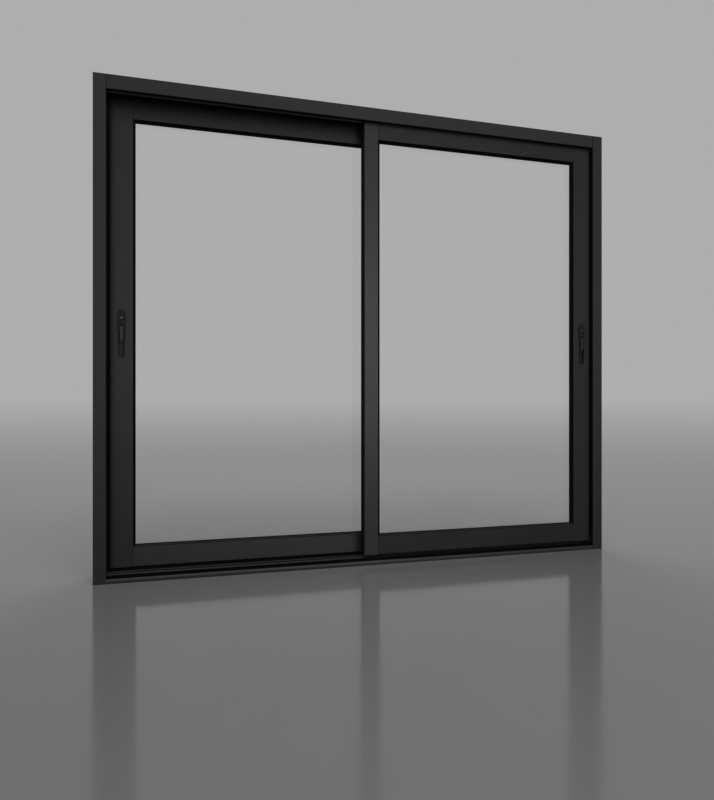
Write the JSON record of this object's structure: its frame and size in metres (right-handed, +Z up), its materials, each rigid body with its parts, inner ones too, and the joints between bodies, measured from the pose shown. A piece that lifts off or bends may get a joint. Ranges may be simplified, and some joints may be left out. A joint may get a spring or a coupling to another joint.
{
  "type": "horizontal sliding window",
  "caption": "Horizontal sliding window: dark aluminium frame with glazed sashes that slide past each other on parallel sill tracks, each with a flush pull on its outer stile.",
  "frame": {"origin": "middle of the window on the underside of the sill", "axes": "+X to the right seen from the room, +Y out through the window, +Z up"},
  "size_m": [1.8, 0.132, 1.56],
  "materials": {
    "black_aluminium": "matte black powder coat",
    "track_aluminium": "satin dark anodised",
    "black_plastic": "matte black",
    "clear_glass": "clear float glass",
    "black_rubber": "matte",
    "spacer_bar": "black anodised",
    "galvanised_steel": "zinc plated",
    "roller_nylon": "moulded nylon",
    "handle_black": "satin black",
    "lever_grey": "satin dark grey",
    "indicator_red": "gloss"
  },
  "bodies": {
    "frame": {"left_jamb": "black_aluminium", "right_jamb": "black_aluminium", "left_jamb_guides": "black_plastic", "right_jamb_guides": "black_plastic", "head": "black_aluminium", "front_head_guide": "black_plastic", "rear_head_guide": "black_plastic", "sill": "black_aluminium", "front_track_rail": "track_aluminium", "rear_track_rail": "track_aluminium"},
    "left_sash": {"left_outer_stile": "black_aluminium", "left_meeting_stile": "black_aluminium", "left_top_rail": "black_aluminium", "left_bottom_rail": "black_aluminium", "left_interlock": "black_aluminium", "left_front_bead": "black_plastic", "left_rear_bead": "black_plastic", "left_front_gasket": "black_rubber", "left_rear_gasket": "black_rubber", "left_front_pane": "clear_glass", "left_rear_pane": "clear_glass", "left_pane_spacer": "spacer_bar", "left_roller_housings": "galvanised_steel", "left_roller_wheels": "roller_nylon", "left_handle_plate": "handle_black", "left_handle_lever": "lever_grey", "left_handle_indicator": "indicator_red"},
    "right_sash": {"right_outer_stile": "black_aluminium", "right_meeting_stile": "black_aluminium", "right_top_rail": "black_aluminium", "right_bottom_rail": "black_aluminium", "right_interlock": "black_aluminium", "right_front_bead": "black_plastic", "right_rear_bead": "black_plastic", "right_front_gasket": "black_rubber", "right_rear_gasket": "black_rubber", "right_front_pane": "clear_glass", "right_rear_pane": "clear_glass", "right_pane_spacer": "spacer_bar", "right_roller_housings": "galvanised_steel", "right_roller_wheels": "roller_nylon", "right_handle_plate": "handle_black", "right_handle_lever": "lever_grey", "right_handle_indicator": "indicator_red"}
  },
  "joints": [
    {"name": "left_sash_slide", "type": "slide", "parent": "frame", "child": "left_sash", "axis": [1, 0, 0], "range_m": [0, 0.78]},
    {"name": "right_sash_slide", "type": "slide", "parent": "frame", "child": "right_sash", "axis": [-1, 0, 0], "range_m": [0, 0.78]}
  ]
}
